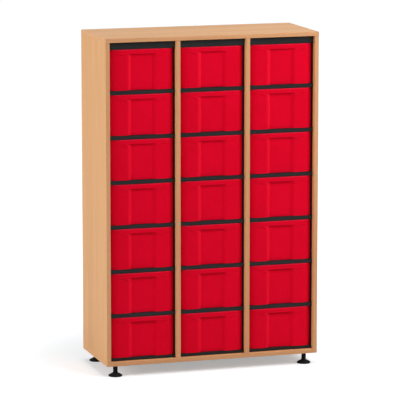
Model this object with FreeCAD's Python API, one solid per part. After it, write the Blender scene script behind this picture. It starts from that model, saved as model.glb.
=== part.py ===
import FreeCAD, Part
import math
import os

# A school drawer cabinet: a beech-decor board carcass on four adjustable feet, with three columns of seven
# moulded drawers that run on black runner plates, and a black cross bar below each drawer.
# The origin is on the floor under the middle of the cabinet. +Z is up, the drawers open towards -Y.
# All lengths are in millimetres.

# Carcass
carcass_width = 950.0
carcass_depth = 392.0
board_thickness = 18.0
column_count = 3
row_count = 7
row_pitch = 192.0
head_room = 28.0
band_thickness = 2.0
band_rounding = 1.5
back_thickness = 8.0
back_inset = 10.0
groove_depth = 9.0
groove_clearance = 0.2

# Carcass fittings
dowel_radius = 4.0
dowel_length = 30.0
dowel_depth_in_panel = 11.0
dowel_chamfer = 1.0
cam_radius = 7.5
cam_length = 12.5
cam_bore_radius = 3.0
cam_slot_width = 1.6
cam_slot_depth = 1.5
cam_distance = 34.0
cam_bolt_radius = 2.5
cam_bolt_depth_in_panel = 11.0
fitting_clearance = 0.2
dowel_depth_shares = (0.3, 0.5, 0.7)
cam_depth_shares = (0.17, 0.83)

# Screws of the runner plates and of the back panel
screw_head_radius = 3.6
screw_head_height = 2.0
screw_shank_radius = 2.2
screw_slot_width = 0.9
screw_slot_depth = 0.8
screw_clearance = 0.2
runner_screw_length = 10.5
back_screw_length = 30.0
back_screws_per_divider = 5
runner_screw_setback = 32.0

# Drawers
front_setback = 18.0
front_side_clearance = 1.5
front_bow_width = 25.0
front_bow_depth = 13.0
front_bow_radius = 80.0
front_corner_radius = 12.0
front_return_depth = 32.0
drawer_rear_gap = 6.0
drawer_rear_radius = 14.0
drawer_wall = 2.4
drawer_floor = 2.6
drawer_foot_rounding = 2.0
bar_zone = 14.0
rim_clearance = 4.0
lip_height = 20.0
recess_mouth_width = 127.0
recess_floor_width = 94.0
recess_depth = 10.0
recess_rounding = 4.0
flange_reach = 11.0
flange_thickness = 2.6
flange_drop = 8.0
nib_height = 2.0
nib_length = 6.0
nib_setback = 4.0
nib_width = 6.0

# Runner plates
plate_thickness = 3.2
plate_setback = 23.0
plate_rear_gap = 8.0
plate_joint = 0.3
ledge_thickness = 2.6
ledge_body_clearance = 2.0
ledge_front_clearance = 0.5
seat_clearance = 0.3
nib_clearance = 0.6

# Cross bars
bar_setback = 20.0
bar_skin = 3.0
bar_web = 2.2
bar_web_depth = 10.0
bar_side_clearance = 0.4
bar_drop = 3.0
bar_lower_clearance = 0.3
bar_upper_clearance = 1.0
head_bar_clearance = 5.0
tongue_depth = 7.0
tongue_height = 8.0
tongue_clearance = 0.2

# Feet
foot_height = 50.0
foot_inset_side = 47.0
foot_inset_end = 40.0
foot_base_radius = 30.0
foot_rim_height = 6.0
foot_rim_rounding = 1.8
foot_cone_top_radius = 13.5
foot_cone_top_height = 14.0
foot_boss_radius = 10.2
foot_boss_height = 18.5
foot_socket_radius = 7.0
foot_socket_floor = 5.0
foot_running_clearance = 0.3
column_radius = 8.8
column_chamfer = 0.8
stud_radius = 5.0
stud_tip_chamfer = 0.8
stud_above_panel = 8.0
insert_flange_radius = 11.0
insert_flange_thickness = 1.6
insert_sleeve_radius = 7.0
insert_sleeve_gap = 1.0

# One overrun for every cut that has to pass through a face
overrun = 1.0

# Sizes worked out from the driving ones
inner_height = row_count * row_pitch + head_room
carcass_height = inner_height + 2 * board_thickness
bay_width = (carcass_width - (column_count + 1) * board_thickness) / column_count
front_face = -carcass_depth / 2
rear_face = carcass_depth / 2
core_front = front_face + band_thickness
back_panel_rear = rear_face - back_inset
back_panel_front = back_panel_rear - back_thickness
underside = foot_height
floor_top = underside + board_thickness
ceiling = floor_top + inner_height
carcass_top = underside + carcass_height
drawer_front = front_face + front_setback
drawer_length = back_panel_front - drawer_rear_gap - drawer_front
drawer_height = row_pitch - bar_zone - rim_clearance
front_width = bay_width - 2 * (plate_thickness + front_side_clearance)
body_width = front_width - 2 * flange_reach
flange_top = drawer_height - flange_drop
flange_bottom = flange_top - flange_thickness
plate_front = front_face + plate_setback
plate_rear = back_panel_front - plate_rear_gap
ledge_front = drawer_front + front_return_depth + ledge_front_clearance
ledge_reach = front_side_clearance + flange_reach - ledge_body_clearance
bar_front = front_face + bar_setback
row_bar_top = bar_zone - bar_upper_clearance
head_bar_top = head_room - head_bar_clearance

vector = FreeCAD.Vector
up = vector(0, 0, 1)


def box(x0, x1, y0, y1, z0, z1):
    """A block between two opposite corners."""
    return Part.makeBox(x1 - x0, y1 - y0, z1 - z0, vector(x0, y0, z0))


def rod(radius, start, end):
    """A round bar between two points."""
    run = end - start
    return Part.makeCylinder(radius, run.Length, start, run)


def joined(shapes):
    """Several shapes fused into one solid, with faces that lie in one surface merged."""
    return shapes[0].fuse(shapes[1:]).removeSplitter()


def carved(shape, tools):
    """A shape with every tool cut out of it, or the shape itself when there is none."""
    return shape.cut(tools) if tools else shape


def moved(shape, x, y, z):
    """A copy of a shape, carried by x, y and z."""
    copy = shape.copy()
    copy.translate(vector(x, y, z))
    return copy


def mirrored(shape, normal):
    """A copy of a shape, mirrored in the plane through the origin with this normal."""
    return shape.mirror(vector(0, 0, 0), normal)


def turned_profile(points):
    """A solid of revolution about Z from a closed outline of (radius, height) points."""
    corners = [vector(radius, 0, height) for radius, height in points]
    outline = Part.makePolygon(corners + corners[:1])
    return Part.Face(outline).revolve(vector(0, 0, 0), up, 360)


def rounded_face(corners):
    """A level face through (x, y, radius) corners, each turned with a tangent arc of its own radius."""
    spots = [vector(corner[0], corner[1], 0) for corner in corners]
    edges = []
    last_end = None
    first_start = None
    for index, here in enumerate(spots):
        radius = corners[index][2]
        to_last = (spots[index - 1] - here).normalize()
        to_next = (spots[(index + 1) % len(spots)] - here).normalize()
        half_angle = to_last.getAngle(to_next) / 2
        reach = radius / math.tan(half_angle)
        start = here + to_last * reach
        end = here + to_next * reach
        if last_end is not None:
            edges.append(Part.LineSegment(last_end, start).toShape())
        else:
            first_start = start
        if radius > 0:
            inward = (to_last + to_next).normalize()
            middle = here + inward * (radius / math.sin(half_angle) - radius)
            edges.append(Part.Arc(start, middle, end).toShape())
        last_end = end
    edges.append(Part.LineSegment(last_end, first_start).toShape())
    return Part.Face(Part.Wire(edges))


def raised(face, z0, z1):
    """A level face at height zero, lifted to z0 and extruded up to z1."""
    return moved(face, 0, 0, z0).extrude(vector(0, 0, z1 - z0))


# Places that several pieces share


def bay_left(column):
    """The x of the left wall of a column's bay."""
    return -carcass_width / 2 + board_thickness + column * (bay_width + board_thickness)


def bay_middle(column):
    """The x of the middle of a column's bay."""
    return bay_left(column) + bay_width / 2


def row_base(row):
    """The z where a row's zone begins, counted from the bottom row."""
    return floor_top + row * row_pitch


def upright_lefts():
    """The x of the left face of each upright board, from left to right."""
    return [bay_left(column) - board_thickness for column in range(column_count + 1)]


def spread(shares):
    """The y of places given as shares of the depth between the front face and the back panel."""
    return [front_face + share * (back_panel_front - front_face) for share in shares]


def foot_places():
    """The name and the x and y of each foot's axis."""
    side = carcass_width / 2 - foot_inset_side
    end = carcass_depth / 2 - foot_inset_end
    return {
        "front_left": (-side, -end),
        "front_right": (side, -end),
        "back_left": (-side, end),
        "back_right": (side, end),
    }


# Carcass fittings: each upright is dowelled and drawn by cams to the bottom and the top panel


def dowel_places():
    """The x, y and z of the joint face, and the direction into the upright, of each dowel."""
    places = []
    for left in upright_lefts():
        for y in spread(dowel_depth_shares):
            places.append((left + board_thickness / 2, y, floor_top, 1))
            places.append((left + board_thickness / 2, y, ceiling, -1))
    return places


def dowel_rod(place, radius, slack):
    """A round bar where a dowel stands, longer at each end by the slack."""
    x, y, z, into = place
    start = vector(x, y, z - into * (dowel_depth_in_panel + slack))
    end = vector(x, y, z + into * (dowel_length - dowel_depth_in_panel + slack))
    return rod(radius, start, end)


def dowels():
    """The wooden dowels, chamfered at both ends."""
    solids = []
    for place in dowel_places():
        solid = dowel_rod(place, dowel_radius, 0)
        rims = [edge for edge in solid.Edges if edge.Curve.TypeId == "Part::GeomCircle"]
        solids.append(solid.makeChamfer(dowel_chamfer, rims))
    return solids


def cam_places():
    """Each cam's x on the board face, its way into the board, its y and z, and the way to the panel."""
    places = []
    for index, left in enumerate(upright_lefts()):
        left_half = 2 * index < column_count
        face = left + board_thickness if left_half else left
        into = -1 if left_half else 1
        for y in spread(cam_depth_shares):
            places.append((face, into, y, floor_top + cam_distance, -1))
            places.append((face, into, y, ceiling - cam_distance, 1))
    return places


def cam_hole(place):
    """The blind hole of one cam, open at the board's face."""
    face, into, y, z = place[:4]
    start = vector(face - into * overrun, y, z)
    end = vector(face + into * (cam_length + 2 * fitting_clearance), y, z)
    return rod(cam_radius + fitting_clearance, start, end)


def cam_housing(place):
    """One cam: a round housing with a cross hole for its bolt and a screwdriver slot."""
    face, into, y, z, towards = place
    start = vector(face + into * fitting_clearance, y, z)
    end = vector(face + into * (fitting_clearance + cam_length), y, z)
    body = rod(cam_radius, start, end)
    middle = face + into * board_thickness / 2
    bolt_way = rod(cam_bore_radius, vector(middle, y, z), vector(middle, y, z + towards * 2 * cam_radius))
    slot_half = cam_slot_width / 2
    slot_ends = sorted((face - into * overrun, face + into * (fitting_clearance + cam_slot_depth)))
    slot = box(slot_ends[0], slot_ends[1], y - cam_radius, y + cam_radius, z - slot_half, z + slot_half)
    return body.cut([bolt_way, slot])


def cam_bolt_rod(place, radius, slack):
    """A round bar along one cam bolt, longer at its panel end by the slack."""
    face, into, y, z, towards = place
    middle = face + into * board_thickness / 2
    inner_end = vector(middle, y, z + towards * cam_bore_radius)
    panel_end = vector(middle, y, z + towards * (cam_distance + cam_bolt_depth_in_panel + slack))
    return rod(radius, inner_end, panel_end)


def fitting_holes():
    """Every hole that the boards need for dowels, cams and cam bolts."""
    hole_radius = dowel_radius + fitting_clearance
    holes = [dowel_rod(place, hole_radius, fitting_clearance) for place in dowel_places()]
    for place in cam_places():
        holes.append(cam_hole(place))
        holes.append(cam_bolt_rod(place, cam_bolt_radius + fitting_clearance, fitting_clearance))
    return holes


# Screws


def screw(length):
    """A countersunk screw with its head's top at the origin, pointing down, with a cross in its head."""
    body = turned_profile([
        (0, 0),
        (screw_head_radius, 0),
        (screw_shank_radius, -screw_head_height),
        (screw_shank_radius, screw_shank_radius - length),
        (0, -length),
    ])
    arm = screw_head_radius / 2
    half = screw_slot_width / 2
    bars = [
        box(-arm, arm, -half, half, -screw_slot_depth, overrun),
        box(-half, half, -arm, arm, -screw_slot_depth, overrun),
    ]
    return body.cut(bars)


def screw_hole(length):
    """The room that a screw needs, with its clearance, open above its head."""
    wide = screw_head_radius + screw_clearance
    narrow = screw_shank_radius + screw_clearance
    return turned_profile([
        (0, overrun),
        (wide, overrun),
        (wide, 0),
        (narrow, -screw_head_height),
        (narrow, -length - screw_clearance),
        (0, -length - screw_clearance),
    ])


def set_screw(shape, x, y, z, axis, angle):
    """A screw or its hole, turned about an axis through the origin and carried to its place."""
    copy = shape.copy()
    copy.rotate(vector(0, 0, 0), axis, angle)
    copy.translate(vector(x, y, z))
    return copy


def runner_screw_places():
    """The x of the plate's inner face, the way into the board, y and z of each runner screw, by column."""
    places = []
    for column in range(column_count):
        left = bay_left(column)
        for row in range(row_count):
            z = row_base(row) + row_pitch / 2
            for y in (ledge_front + runner_screw_setback, plate_rear - runner_screw_setback):
                places.append((left + plate_thickness, -1, y, z))
                places.append((left + bay_width - plate_thickness, 1, y, z))
    return places


def runner_screw_shapes(shape):
    """A screw or its hole at every runner screw's place."""
    y_axis = vector(0, 1, 0)
    return [set_screw(shape, x, y, z, y_axis, -into * 90) for x, into, y, z in runner_screw_places()]


def back_screw_shapes(shape):
    """A screw or its hole at every place where the back panel is screwed to a divider."""
    shapes = []
    x_axis = vector(1, 0, 0)
    spacing = inner_height / back_screws_per_divider
    for left in upright_lefts()[1:-1]:
        x = left + board_thickness / 2
        for index in range(back_screws_per_divider):
            z = floor_top + index * spacing + spacing / 2
            shapes.append(set_screw(shape, x, back_panel_rear, z, x_axis, -90))
    return shapes


# Carcass boards


def groove_tool():
    """The groove for the back panel, cut round the inside of the four outer boards."""
    outer = groove_depth
    half = carcass_width / 2 - board_thickness + outer
    y0 = back_panel_front - groove_clearance
    y1 = back_panel_rear + groove_clearance
    return box(-half, half, y0, y1, floor_top - outer, ceiling + outer)


def insert_holes():
    """The stepped holes for the feet's insert nuts, through the bottom panel."""
    holes = []
    for x, y in foot_places().values():
        flange_end = underside + insert_flange_thickness + fitting_clearance
        foot = vector(x, y, underside - overrun)
        holes.append(rod(insert_flange_radius + fitting_clearance, foot, vector(x, y, flange_end)))
        holes.append(rod(insert_sleeve_radius + fitting_clearance, foot, vector(x, y, floor_top + overrun)))
    return holes


def flat_boards(holes):
    """The bottom and the top panel, which run the whole width."""
    half = carcass_width / 2 - band_thickness
    bottom = box(-half, half, core_front, rear_face, underside, floor_top)
    top = box(-half, half, core_front, rear_face, ceiling, carcass_top)
    return {
        "bottom_panel": bottom.cut(holes + insert_holes() + [groove_tool()]),
        "top_panel": top.cut(holes + [groove_tool()]),
    }


def upright_boards(holes):
    """The side panels and the dividers, which stand between the bottom and the top panel."""
    lefts = upright_lefts()
    names = ["side_panel_left"]
    names += ["divider_%d" % (index + 1) for index in range(column_count - 1)]
    names += ["side_panel_right"]
    tools = holes + runner_screw_shapes(screw_hole(runner_screw_length))
    tools += back_screw_shapes(screw_hole(back_screw_length))
    boards = {}
    for name, left in zip(names, lefts):
        outer = name.startswith("side")
        rear = rear_face if outer else back_panel_front
        board = box(left, left + board_thickness, core_front, rear, floor_top, ceiling).cut(tools)
        boards[name] = board.cut(groove_tool()) if outer else board
    return boards


def back_panel():
    """The back panel in its groove, drilled for its screws."""
    edge = groove_depth - groove_clearance
    half = carcass_width / 2 - board_thickness + edge
    panel = box(-half, half, back_panel_front, back_panel_rear, floor_top - edge, ceiling + edge)
    return panel.cut(back_screw_shapes(screw_hole(back_screw_length)))


def front_band(x0, x1, z0, z1, along):
    """A band on a board's front edge, with its two long front arrises rounded."""
    band = box(x0, x1, front_face, core_front, z0, z1)
    long_edges = []
    for edge in band.Edges:
        ends = [vertex.Point for vertex in edge.Vertexes]
        run = ends[1] - ends[0]
        if ends[0].y < core_front and ends[1].y < core_front and abs(run.dot(along)) == run.Length:
            long_edges.append(edge)
    return band.makeFillet(band_rounding, long_edges)


def flat_bands(z0):
    """The three bands of a full-width panel: along its front and on its two ends."""
    half = carcass_width / 2
    front = front_band(-half, half, z0, z0 + board_thickness, vector(1, 0, 0))
    ends = [
        box(-half, -half + band_thickness, core_front, rear_face, z0, z0 + board_thickness),
        box(half - band_thickness, half, core_front, rear_face, z0, z0 + board_thickness),
    ]
    return [front] + ends


def upright_bands(lefts):
    """The front bands of some upright boards."""
    return [front_band(left, left + board_thickness, floor_top, ceiling, up) for left in lefts]


# Drawers, modelled with the middle of the front's foot at the origin and carried to their places


def drawer_outline(recessed):
    """A drawer's outline from above: its front bows back to rounded ends, and may have the finger recess."""
    front = front_width / 2
    body = body_width / 2
    bow_start = front - front_bow_width
    corners = [
        (-bow_start, 0, front_bow_radius),
        (-front, front_bow_depth, front_corner_radius),
        (-front, front_return_depth, 0),
        (-body, front_return_depth, 0),
        (-body, drawer_length, drawer_rear_radius),
        (body, drawer_length, drawer_rear_radius),
        (body, front_return_depth, 0),
        (front, front_return_depth, 0),
        (front, front_bow_depth, front_corner_radius),
        (bow_start, 0, front_bow_radius),
    ]
    if recessed:
        corners += [
            (recess_mouth_width / 2, 0, recess_rounding),
            (recess_floor_width / 2, recess_depth, recess_rounding),
            (-recess_floor_width / 2, recess_depth, recess_rounding),
            (-recess_mouth_width / 2, 0, recess_rounding),
        ]
    return rounded_face(corners)


def inward(face, distance):
    """A face with its outline drawn in by a distance."""
    shrunk = face.makeOffset2D(-distance)
    return shrunk if shrunk.ShapeType == "Face" else Part.Face(shrunk.Wires)


def drawer_tub():
    """The drawer's walls and floor: recessed below the lip, full width at the lip, open on top."""
    lip_bottom = drawer_height - lip_height
    low = drawer_outline(True)
    high = drawer_outline(False)
    block = joined([raised(low, 0, lip_bottom), raised(high, lip_bottom, drawer_height)])
    foot_edges = [edge for edge in block.Edges if edge.BoundBox.ZMax < overrun]
    block = block.makeFillet(drawer_foot_rounding, foot_edges)
    web_top = lip_bottom + drawer_wall
    hollow = joined([
        raised(inward(low, drawer_wall), drawer_floor, web_top),
        raised(inward(high, drawer_wall), web_top, drawer_height + overrun),
    ])
    return block.cut(hollow)


def drawer_flange(side):
    """One side flange that rides on the runner ledge, with the stop nib on its rear end."""
    inner = body_width / 2 - drawer_wall / 2
    outer = front_width / 2
    start = front_return_depth - drawer_wall
    flange = box(inner, outer, start, drawer_length, flange_bottom, flange_top)
    nib_end = drawer_length - nib_setback
    nib = box(outer - nib_width, outer, nib_end - nib_length, nib_end, flange_top, flange_top + nib_height)
    shape = flange.fuse(nib)
    return shape if side > 0 else mirrored(shape, vector(1, 0, 0))


def drawer():
    """One whole drawer."""
    tub = drawer_tub()
    inside = inward(drawer_outline(False), drawer_wall)
    room = raised(inside, flange_bottom - overrun, drawer_height + overrun)
    flanges = [drawer_flange(side).cut(room) for side in (-1, 1)]
    return joined([tub] + flanges)


# Runner plates, modelled on the left wall of a bay with the row's base at height zero


def ledge_pair():
    """The ledge under the drawer's flange, the ledge over it, and the stop nib below the upper one."""
    inner = plate_thickness + ledge_reach
    lower_top = bar_zone + flange_bottom - seat_clearance
    upper_bottom = bar_zone + flange_top + nib_height + nib_clearance
    nib_bottom = bar_zone + flange_top + nib_clearance
    return [
        box(0, inner, ledge_front, plate_rear, lower_top - ledge_thickness, lower_top),
        box(0, inner, ledge_front, plate_rear, upper_bottom, upper_bottom + ledge_thickness),
        box(0, inner, ledge_front, ledge_front + nib_length, nib_bottom, upper_bottom + ledge_thickness),
    ]


def tongue_block(bar_top, x0, x1, clearance):
    """A block where the left tongue of a bar with this top stands, larger all round by a clearance."""
    middle = (bar_lower_clearance + bar_top) / 2
    half = tongue_height / 2 + clearance
    y0 = bar_front + bar_skin + bar_web
    return box(x0, x1, y0 - clearance, y0 + tongue_depth + clearance, middle - half, middle + half)


def tongue_hole(bar_top):
    """The hole through a left runner plate that takes the tongue of a bar with this top."""
    return tongue_block(bar_top, -overrun, plate_thickness + overrun, tongue_clearance)


def row_plate():
    """The runner plate of one row, on a left wall."""
    blank = box(0, plate_thickness, plate_front, plate_rear, 0, row_pitch - plate_joint)
    return joined([blank] + ledge_pair()).cut(tongue_hole(row_bar_top))


def head_plate():
    """The short plate over the top row, which carries the top cross bar."""
    blank = box(0, plate_thickness, plate_front, plate_rear, 0, head_room - plate_joint)
    return blank.cut(tongue_hole(head_bar_top))


def runner_plates(column, side):
    """The stack of runner plates on one wall of a bay, bottom row first."""
    left_stack = [moved(row_plate(), 0, 0, row_base(row)) for row in range(row_count)]
    left_stack.append(moved(head_plate(), 0, 0, row_base(row_count)))
    holes = runner_screw_shapes(screw_hole(runner_screw_length))
    solids = []
    for plate in left_stack:
        if side < 0:
            placed = moved(plate, bay_left(column), 0, 0)
        else:
            placed = moved(mirrored(plate, vector(1, 0, 0)), bay_left(column) + bay_width, 0, 0)
        near = [hole for hole in holes if hole.BoundBox.intersect(placed.BoundBox)]
        solids.append(carved(placed, near))
    return solids


# Cross bars, modelled in the middle of a bay with the zone's base at height zero


def cross_bar(foot, top):
    """A cross bar from foot to top: a front skin, two webs and two end caps behind it, and two tongues."""
    wide = bay_width / 2 - bar_side_clearance
    narrow = bay_width / 2 - plate_thickness - bar_side_clearance
    y1 = bar_front + bar_skin
    y2 = y1 + bar_web_depth
    pieces = [
        box(-wide, wide, bar_front, y1, foot, top),
        box(-narrow, narrow, y1, y2, foot, foot + bar_web),
        box(-narrow, narrow, y1, y2, top - bar_web, top),
    ]
    end_cap = box(-narrow, -narrow + bar_web, y1, y2, foot, top)
    tongue = tongue_block(top, -wide, -narrow, 0)
    for piece in (end_cap, tongue):
        pieces.append(piece)
        pieces.append(mirrored(piece, vector(1, 0, 0)))
    return joined(pieces)


def cross_bars(column):
    """All cross bars of a column, bottom row first. All but the lowest hang a little below their zone."""
    hanging_foot = bar_lower_clearance - bar_drop
    shapes = [cross_bar(bar_lower_clearance, row_bar_top)]
    shapes += [cross_bar(hanging_foot, row_bar_top)] * (row_count - 1)
    shapes.append(cross_bar(hanging_foot, head_bar_top))
    return [moved(shape, bay_middle(column), 0, row_base(row)) for row, shape in enumerate(shapes)]


# Feet, modelled with their axis at the origin and their underside on the floor


def foot_base():
    """The flared foot base with the socket in which its spindle turns."""
    blank = turned_profile([
        (0, 0),
        (foot_base_radius, 0),
        (foot_base_radius, foot_rim_height),
        (foot_base_radius - 2 * foot_rim_rounding, foot_rim_height),
        (foot_cone_top_radius, foot_cone_top_height),
        (foot_boss_radius, foot_boss_height),
        (0, foot_boss_height),
    ])
    rims = []
    for edge in blank.Edges:
        round_edge = edge.Curve.TypeId == "Part::GeomCircle"
        if round_edge and edge.Curve.Radius > foot_base_radius - foot_rim_rounding:
            rims.append(edge)
    shape = blank.makeFillet(foot_rim_rounding, rims)
    socket_foot = vector(0, 0, foot_socket_floor)
    socket_top = vector(0, 0, foot_boss_height + overrun)
    return shape.cut(rod(foot_socket_radius, socket_foot, socket_top))


def foot_spindle():
    """The spindle: a pivot in the base, the round column, and the stud that screws into the cabinet."""
    pivot = foot_socket_radius - foot_running_clearance
    column_foot = foot_boss_height + foot_running_clearance
    column_top = underside - foot_running_clearance
    tip = floor_top + stud_above_panel
    return turned_profile([
        (0, foot_socket_floor + foot_running_clearance),
        (pivot, foot_socket_floor + foot_running_clearance),
        (pivot, column_foot),
        (column_radius, column_foot),
        (column_radius, column_top - column_chamfer),
        (column_radius - column_chamfer, column_top),
        (stud_radius, column_top),
        (stud_radius, tip - stud_tip_chamfer),
        (stud_radius - stud_tip_chamfer, tip),
        (0, tip),
    ])


def foot_insert():
    """The insert nut in the bottom panel, flush with its underside."""
    flange_top_face = underside + insert_flange_thickness
    bore = stud_radius + foot_running_clearance
    return turned_profile([
        (bore, underside),
        (insert_flange_radius, underside),
        (insert_flange_radius, flange_top_face),
        (insert_sleeve_radius, flange_top_face),
        (insert_sleeve_radius, floor_top - insert_sleeve_gap),
        (bore, floor_top - insert_sleeve_gap),
    ])


# The whole cabinet: each node's name and its solid or list of solids


def drawer_nodes():
    """One drawer for each column and row; rows are counted from the top."""
    shape = drawer()
    nodes = {}
    for column in range(column_count):
        for row in range(row_count):
            z = row_base(row_count - 1 - row) + bar_zone
            name = "drawer_%d_%d" % (column + 1, row + 1)
            nodes[name] = moved(shape, bay_middle(column), drawer_front, z)
    return nodes


def runner_nodes():
    """The runner plates of each bay's two walls and the cross bars of each bay."""
    nodes = {}
    for column in range(column_count):
        nodes["runner_plates_%d_left" % (column + 1)] = runner_plates(column, -1)
        nodes["runner_plates_%d_right" % (column + 1)] = runner_plates(column, 1)
        nodes["cross_bars_%d" % (column + 1)] = cross_bars(column)
    return nodes


def foot_nodes():
    """The base, spindle and insert nut of each foot."""
    nodes = {}
    for place, (x, y) in foot_places().items():
        nodes["foot_base_" + place] = moved(foot_base(), x, y, 0)
        nodes["foot_spindle_" + place] = moved(foot_spindle(), x, y, 0)
        nodes["foot_insert_" + place] = moved(foot_insert(), x, y, 0)
    return nodes


def fastener_nodes():
    """The dowels, cams, cam bolts and screws, each kind as one group."""
    return {
        "carcass_dowels": dowels(),
        "cam_housings": [cam_housing(place) for place in cam_places()],
        "cam_bolts": [cam_bolt_rod(place, cam_bolt_radius, 0) for place in cam_places()],
        "runner_screws": runner_screw_shapes(screw(runner_screw_length)),
        "back_screws": back_screw_shapes(screw(back_screw_length)),
    }


def carcass_nodes():
    """The boards, the back panel and the edge bands."""
    holes = fitting_holes()
    lefts = upright_lefts()
    nodes = dict(flat_boards(holes))
    nodes.update(upright_boards(holes))
    nodes["back_panel"] = back_panel()
    nodes["edge_bands_bottom"] = flat_bands(underside)
    nodes["edge_bands_top"] = flat_bands(ceiling)
    nodes["edge_bands_sides"] = upright_bands([lefts[0], lefts[-1]])
    nodes["edge_bands_dividers"] = upright_bands(lefts[1:-1])
    return nodes


def write_node(name, content):
    """Write one node's solids to its own file and print what it holds."""
    solids = content if isinstance(content, list) else [content]
    shape = solids[0] if len(solids) == 1 else Part.makeCompound(solids)
    shape.exportStep("parts/%s.step" % name)
    print("%-28s solids %3d  valid %s" % (name, len(shape.Solids), shape.isValid()))


def build():
    """Make every node and write it."""
    os.makedirs("parts", exist_ok=True)
    nodes = carcass_nodes()
    nodes.update(fastener_nodes())
    nodes.update(runner_nodes())
    nodes.update(drawer_nodes())
    nodes.update(foot_nodes())
    for name, content in nodes.items():
        write_node(name, content)
    print("nodes:", len(nodes))


build()
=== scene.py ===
"""The looks of a drawer cabinet: beech-decor boards, red moulded drawers, black runners and adjustable feet.

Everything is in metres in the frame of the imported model: the origin on the floor under the cabinet's
middle, +Z up and the drawers opening towards -Y. The boards, bands, runner plates, cross bars and fittings
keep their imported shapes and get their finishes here. The drawers and the feet are surfaces worked out in
this file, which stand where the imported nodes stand.
"""

import logging
import math
from collections.abc import Sequence
from dataclasses import dataclass, field
from enum import Enum
from typing import ClassVar

import bpy
import numpy as np
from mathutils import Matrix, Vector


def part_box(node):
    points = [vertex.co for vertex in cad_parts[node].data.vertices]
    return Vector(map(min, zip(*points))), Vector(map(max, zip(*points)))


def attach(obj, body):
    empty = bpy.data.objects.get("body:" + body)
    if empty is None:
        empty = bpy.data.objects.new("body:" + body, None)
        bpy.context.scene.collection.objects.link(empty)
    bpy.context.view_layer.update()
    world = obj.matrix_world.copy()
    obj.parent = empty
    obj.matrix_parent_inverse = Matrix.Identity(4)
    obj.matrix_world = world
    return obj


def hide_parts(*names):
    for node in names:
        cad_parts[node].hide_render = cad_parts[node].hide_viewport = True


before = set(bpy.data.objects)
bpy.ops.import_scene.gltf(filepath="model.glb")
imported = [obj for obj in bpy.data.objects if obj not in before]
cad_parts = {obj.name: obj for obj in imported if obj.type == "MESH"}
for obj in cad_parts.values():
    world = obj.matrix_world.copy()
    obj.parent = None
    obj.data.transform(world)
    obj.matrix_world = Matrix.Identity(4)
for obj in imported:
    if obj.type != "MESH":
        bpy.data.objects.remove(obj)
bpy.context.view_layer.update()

LOG = logging.getLogger("drawer_cabinet")
MM = 0.001
QUARTER_TURN = math.pi / 2
COLUMNS = (1, 2, 3)
ROWS = (1, 2, 3, 4, 5, 6, 7)
FOOT_PLACES = ("front_left", "front_right", "back_left", "back_right")
Triple = tuple[float, float, float]
Colour = Triple
Pair = tuple[float, float]
Feeds = dict[str | int, object]
Socket = bpy.types.NodeSocket

FLOAT, COLOUR, VECTOR = "NodeSocketFloat", "NodeSocketColor", "NodeSocketVector"
SKIN_OUTPUTS = {"Colour": COLOUR, "Roughness": FLOAT, "Height": FLOAT}
BLACK = (0.0, 0.0, 0.0, 1.0)
# The places of a Mix node's sockets for the share and the two inputs, and for its result.
COLOUR_MIX_INPUTS, COLOUR_MIX_OUTPUT = (0, 6, 7), 2
VECTOR_MIX_INPUTS, VECTOR_MIX_OUTPUT = (0, 4, 5), 1


class Grain(Enum):
    """The way that the wood's grain runs on a piece."""

    UPRIGHT = "upright"
    ACROSS = "across"
    ROUND_PANEL = "round_panel"


def linear(red: float, green: float, blue: float) -> Colour:
    """Turn a screen colour of 0 to 255 into the linear values that shaders take.

    This is the usual screen curve: a value v of 0 to 1 becomes ((v + 0.055) / 1.055) to the power 2.4,
    or v / 12.92 where it is 0.04045 or less.

    Args:
        red, green, blue: The colour as a screen shows it.

    Returns:
        The same colour in linear light, each value from 0 to 1.
    """
    shares = np.array([red, green, blue]) / 255.0
    values = np.where(shares <= 0.04045, shares / 12.92, ((shares + 0.055) / 1.055) ** 2.4)
    return tuple(float(value) for value in values)


def put_in_scene(name: str, data: bpy.types.ID) -> bpy.types.Object:
    """Make an object of a mesh, a light or a camera, and link it to the scene.

    Args:
        name: The object's name.
        data: Its mesh, light or camera.

    Returns:
        The new object, at the origin.
    """
    made = bpy.data.objects.new(name, data)
    bpy.context.scene.collection.objects.link(made)
    return made


# Surfaces


def inner_places(low: float, high: float, parts: int) -> np.ndarray:
    """Cut a stretch into equal parts and return the places between its ends."""
    return np.linspace(low, high, parts + 1)[1:-1]


@dataclass(frozen=True)
class Corner:
    """One corner of an outline: its place, its rounding, and the parts of it and of the run after it."""

    x: float
    y: float
    radius: float
    steps: int
    run: int


def turned_corner(
    spot: np.ndarray, arriving: np.ndarray, leaving: np.ndarray, radius: float, steps: int
) -> np.ndarray:
    """Round one corner with an arc that touches both of its edges.

    The arc starts at radius * tan(half the turn) before the corner, and each of its points is the start
    turned about the arc's centre by an even share of the whole turn.

    Args:
        spot: The corner's place, two values.
        arriving: The unit direction of the edge before the corner.
        leaving: The unit direction of the edge after it.
        radius: The arc's radius.
        steps: The number of equal parts in the arc.

    Returns:
        The points of the arc, steps + 1 rows of two values.
    """
    turn = math.atan2(arriving[0] * leaving[1] - arriving[1] * leaving[0], float(arriving @ leaving))
    side = math.copysign(1.0, turn)
    start = spot - arriving * (radius * math.tan(abs(turn) / 2))
    centre = start + side * radius * np.array([-arriving[1], arriving[0]])
    angle = turn * np.linspace(0.0, 1.0, steps + 1)
    arm = start - centre
    x = arm[0] * np.cos(angle) - arm[1] * np.sin(angle)
    y = arm[0] * np.sin(angle) + arm[1] * np.cos(angle)
    return centre + np.stack([x, y], 1)


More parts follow.
